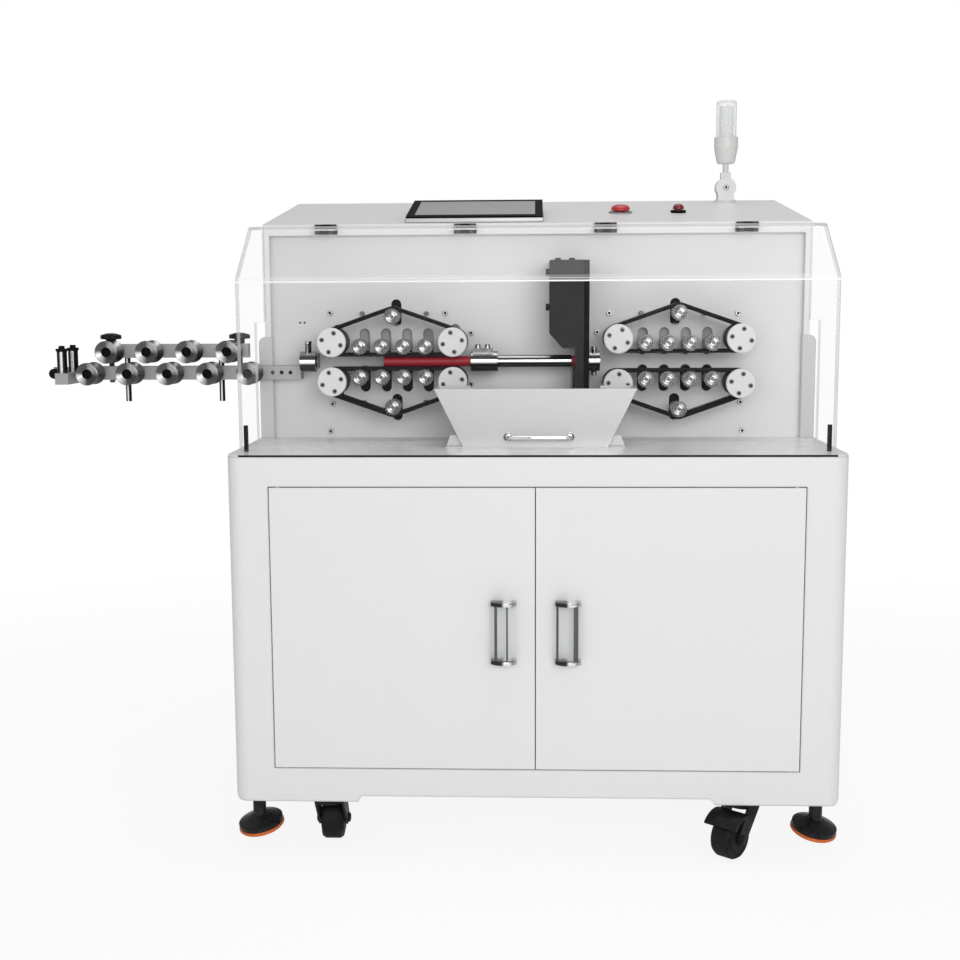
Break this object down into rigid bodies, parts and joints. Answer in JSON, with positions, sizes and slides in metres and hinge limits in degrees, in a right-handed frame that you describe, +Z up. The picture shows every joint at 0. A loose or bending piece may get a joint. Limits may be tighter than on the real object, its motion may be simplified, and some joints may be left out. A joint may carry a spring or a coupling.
{
  "type": "wire cutting and stripping machine",
  "caption": "Floor-standing wire cutting and stripping machine with toothed belt feeds, V-blade knife head, hinged clear cover, roller straightener, touchscreen and two-door cabinet on casters",
  "frame": {"origin": "On the floor under the middle of the cabinet, in the plane the caster wheels stand on.", "axes": "+X runs to the right along the wire's way through the machine, the front faces -Y and +Z is up."},
  "size_m": [1.379, 0.7137, 1.309],
  "materials": {
    "cabinet_paint": "smooth light grey-white powder coat",
    "housing_paint": "smooth white powder coat",
    "table_steel": "satin bright sheet",
    "plate_aluminium": "pale anodised plate",
    "black_trim": "matt black",
    "black_metal": "black coated metal",
    "foot_rubber": "orange rubber pad",
    "caster_tyre": "black tread",
    "handle_chrome": "bright ends with a clear grip",
    "machined_steel": "turned and ground steel",
    "belt_rubber": "dark toothed belt",
    "pulley_white": "white cap on a light metal pulley",
    "screen_black": "black bezel with a grey screen",
    "bezel_grey": "grey and black rings",
    "stop_red": "red cap",
    "switch_red": "dark red dome",
    "lamp_knuckle": "off-white knuckle",
    "lamp_white": "off-white body",
    "lens_clear": "clear ribbed lens",
    "cover_clear": "clear bent acrylic sheet",
    "cable_red": "red cable jacket",
    "knob_black": "black knob"
  },
  "bodies": {
    "frame": {"cabinet": "cabinet_paint", "table_plate": "table_steel", "table_trim": "black_trim", "levelling_feet": "black_metal", "foot_pads": "foot_rubber", "caster_plates": "black_metal", "upper_housing": "housing_paint", "rear_panel": "housing_paint", "face_plate": "plate_aluminium", "guide_rods": "machined_steel", "touchscreen": "screen_black", "control_bezels": "bezel_grey", "lamp_bracket": "lamp_knuckle", "cover_hinges": "black_metal", "knife_cover": "black_metal", "wire_guides": "machined_steel", "scrap_chute": "table_steel", "sample_cable": "cable_red", "straightener_rail": "plate_aluminium", "straightening_rollers": "machined_steel"},
    "left_door": {"left_door": "cabinet_paint", "left_handle": "handle_chrome"},
    "right_door": {"right_door": "cabinet_paint", "right_handle": "handle_chrome"},
    "caster_fork_fl": {"caster_fork_fl": "black_metal"},
    "caster_wheel_fl": {"caster_wheel_fl": "caster_tyre"},
    "caster_fork_fr": {"caster_fork_fr": "black_metal"},
    "caster_wheel_fr": {"caster_wheel_fr": "caster_tyre"},
    "caster_fork_rl": {"caster_fork_rl": "black_metal"},
    "caster_wheel_rl": {"caster_wheel_rl": "caster_tyre"},
    "caster_fork_rr": {"caster_fork_rr": "black_metal"},
    "caster_wheel_rr": {"caster_wheel_rr": "caster_tyre"},
    "cover": {"safety_cover": "cover_clear", "cover_leaves": "black_metal"},
    "left_upper_feed": {"left_upper_carriage": "machined_steel", "left_upper_belt": "belt_rubber"},
    "left_lower_feed": {"left_lower_carriage": "machined_steel", "left_lower_belt": "belt_rubber"},
    "pulley_lu_a": {"pulley_lu_a": "pulley_white"},
    "pulley_lu_b": {"pulley_lu_b": "pulley_white"},
    "pulley_ll_a": {"pulley_ll_a": "pulley_white"},
    "pulley_ll_b": {"pulley_ll_b": "pulley_white"},
    "right_upper_feed": {"right_upper_carriage": "machined_steel", "right_upper_belt": "belt_rubber"},
    "right_lower_feed": {"right_lower_carriage": "machined_steel", "right_lower_belt": "belt_rubber"},
    "pulley_ru_a": {"pulley_ru_a": "pulley_white"},
    "pulley_ru_b": {"pulley_ru_b": "pulley_white"},
    "pulley_rl_a": {"pulley_rl_a": "pulley_white"},
    "pulley_rl_b": {"pulley_rl_b": "pulley_white"},
    "upper_blade": {"upper_blade": "machined_steel"},
    "lower_blade": {"lower_blade": "machined_steel"},
    "stop_button": {"stop_button": "stop_red"},
    "power_switch": {"power_switch": "switch_red"},
    "lamp": {"lamp_head": "lamp_white", "lamp_lens": "lens_clear"},
    "upper_rail": {"upper_rail": "plate_aluminium", "upper_rollers": "machined_steel"},
    "adjusting_knob_a": {"adjusting_knob_a": "knob_black"},
    "adjusting_knob_b": {"adjusting_knob_b": "knob_black"}
  },
  "joints": [
    {"name": "left_door_hinge", "type": "hinge", "parent": "frame", "child": "left_door", "pos_m": [-0.416, -0.335, 0.384], "axis": [0, 0, -1], "range_deg": [0, 110]},
    {"name": "right_door_hinge", "type": "hinge", "parent": "frame", "child": "right_door", "pos_m": [0.416, -0.335, 0.384], "axis": [0, 0, 1], "range_deg": [0, 110]},
    {"name": "caster_swivel_fl", "type": "hinge", "parent": "frame", "child": "caster_fork_fl", "pos_m": [-0.346, -0.3, 0.09], "axis": [0, 0, 1], "continuous": true},
    {"name": "caster_roll_fl", "type": "hinge", "parent": "caster_fork_fl", "child": "caster_wheel_fl", "pos_m": [-0.346, -0.262, 0.035], "axis": [-1, 0, 0], "continuous": true},
    {"name": "caster_swivel_fr", "type": "hinge", "parent": "frame", "child": "caster_fork_fr", "pos_m": [0.346, -0.3, 0.09], "axis": [0, 0, 1], "continuous": true},
    {"name": "caster_roll_fr", "type": "hinge", "parent": "caster_fork_fr", "child": "caster_wheel_fr", "pos_m": [0.32157, -0.32911, 0.035], "axis": [0.766, -0.6428, 0], "continuous": true},
    {"name": "caster_swivel_rl", "type": "hinge", "parent": "frame", "child": "caster_fork_rl", "pos_m": [-0.346, 0.3, 0.09], "axis": [0, 0, 1], "continuous": true},
    {"name": "caster_roll_rl", "type": "hinge", "parent": "caster_fork_rl", "child": "caster_wheel_rl", "pos_m": [-0.3394, 0.26258, 0.035], "axis": [0.9848, 0.1736, 0], "continuous": true},
    {"name": "caster_swivel_rr", "type": "hinge", "parent": "frame", "child": "caster_fork_rr", "pos_m": [0.346, 0.3, 0.09], "axis": [0, 0, 1], "continuous": true},
    {"name": "caster_roll_rr", "type": "hinge", "parent": "caster_fork_rr", "child": "caster_wheel_rr", "pos_m": [0.33616, 0.2633, 0.035], "axis": [0.9659, -0.2588, 0], "continuous": true},
    {"name": "cover_hinge", "type": "hinge", "parent": "frame", "child": "cover", "pos_m": [0, -0.0585, 1.047], "axis": [-1, 0, 0], "range_deg": [0, 95]},
    {"name": "left_upper_feed_slide", "type": "slide", "parent": "frame", "child": "left_upper_feed", "axis": [0, 0, 1], "range_m": [0, 0.012]},
    {"name": "left_lower_feed_slide", "type": "slide", "parent": "frame", "child": "left_lower_feed", "axis": [0, 0, -1], "range_m": [0, 0.012]},
    {"name": "pulley_lu_a_turn", "type": "hinge", "parent": "left_upper_feed", "child": "pulley_lu_a", "pos_m": [-0.356, -0.095, 0.8443], "axis": [0, 1, 0], "continuous": true},
    {"name": "pulley_lu_b_turn", "type": "hinge", "parent": "left_upper_feed", "child": "pulley_lu_b", "pos_m": [-0.144, -0.095, 0.8443], "axis": [0, 1, 0], "continuous": true},
    {"name": "pulley_ll_a_turn", "type": "hinge", "parent": "left_lower_feed", "child": "pulley_ll_a", "pos_m": [-0.356, -0.095, 0.7757], "axis": [0, 1, 0], "continuous": true},
    {"name": "pulley_ll_b_turn", "type": "hinge", "parent": "left_lower_feed", "child": "pulley_ll_b", "pos_m": [-0.144, -0.095, 0.7757], "axis": [0, 1, 0], "continuous": true},
    {"name": "right_upper_feed_slide", "type": "slide", "parent": "frame", "child": "right_upper_feed", "axis": [0, 0, 1], "range_m": [-0.0045, 0.0075]},
    {"name": "right_lower_feed_slide", "type": "slide", "parent": "frame", "child": "right_lower_feed", "axis": [0, 0, -1], "range_m": [-0.0045, 0.0075]},
    {"name": "pulley_ru_a_turn", "type": "hinge", "parent": "right_upper_feed", "child": "pulley_ru_a", "pos_m": [0.144, -0.095, 0.8488], "axis": [0, 1, 0], "continuous": true},
    {"name": "pulley_ru_b_turn", "type": "hinge", "parent": "right_upper_feed", "child": "pulley_ru_b", "pos_m": [0.356, -0.095, 0.8488], "axis": [0, 1, 0], "continuous": true},
    {"name": "pulley_rl_a_turn", "type": "hinge", "parent": "right_lower_feed", "child": "pulley_rl_a", "pos_m": [0.144, -0.095, 0.7712], "axis": [0, 1, 0], "continuous": true},
    {"name": "pulley_rl_b_turn", "type": "hinge", "parent": "right_lower_feed", "child": "pulley_rl_b", "pos_m": [0.356, -0.095, 0.7712], "axis": [0, 1, 0], "continuous": true},
    {"name": "upper_blade_slide", "type": "slide", "parent": "frame", "child": "upper_blade", "axis": [0, 0, -1], "range_m": [0, 0.02]},
    {"name": "lower_blade_slide", "type": "slide", "parent": "frame", "child": "lower_blade", "axis": [0, 0, 1], "range_m": [0, 0.02]},
    {"name": "stop_button_push", "type": "slide", "parent": "frame", "child": "stop_button", "axis": [0, 0.1656, -0.9862], "range_m": [0, 0.002], "stiffness_N_per_m": 900},
    {"name": "power_switch_push", "type": "slide", "parent": "frame", "child": "power_switch", "axis": [0, 0.1656, -0.9862], "range_m": [0, 0.002], "stiffness_N_per_m": 700},
    {"name": "lamp_tilt", "type": "hinge", "parent": "frame", "child": "lamp", "pos_m": [0.382, 0.3, 1.139], "axis": [0, 1, 0], "range_deg": [-80, 80]},
    {"name": "rail_slide", "type": "slide", "parent": "frame", "child": "upper_rail", "axis": [0, 0, 1], "range_m": [0, 0.015]},
    {"name": "adjusting_knob_a_turn", "type": "hinge", "parent": "upper_rail", "child": "adjusting_knob_a", "pos_m": [-0.765, -0.062, 0.85], "axis": [0, 0, 1], "range_deg": [0, 3600]},
    {"name": "adjusting_knob_b_turn", "type": "hinge", "parent": "upper_rail", "child": "adjusting_knob_b", "pos_m": [-0.531, -0.062, 0.85], "axis": [0, 0, 1], "range_deg": [0, 3600]}
  ],
  "couplings": [
    {"joint": "left_lower_feed_slide", "follows": "left_upper_feed_slide", "ratio": 1},
    {"joint": "pulley_lu_b_turn", "follows": "pulley_lu_a_turn", "ratio": 1},
    {"joint": "pulley_ll_a_turn", "follows": "pulley_lu_a_turn", "ratio": -1},
    {"joint": "pulley_ll_b_turn", "follows": "pulley_lu_a_turn", "ratio": -1},
    {"joint": "right_lower_feed_slide", "follows": "right_upper_feed_slide", "ratio": 1},
    {"joint": "pulley_ru_b_turn", "follows": "pulley_ru_a_turn", "ratio": 1},
    {"joint": "pulley_rl_a_turn", "follows": "pulley_ru_a_turn", "ratio": -1},
    {"joint": "pulley_rl_b_turn", "follows": "pulley_ru_a_turn", "ratio": -1},
    {"joint": "lower_blade_slide", "follows": "upper_blade_slide", "ratio": 1},
    {"joint": "adjusting_knob_a_turn", "follows": "rail_slide", "rad_per_m": 4188.8},
    {"joint": "adjusting_knob_b_turn", "follows": "rail_slide", "rad_per_m": 4188.8}
  ]
}
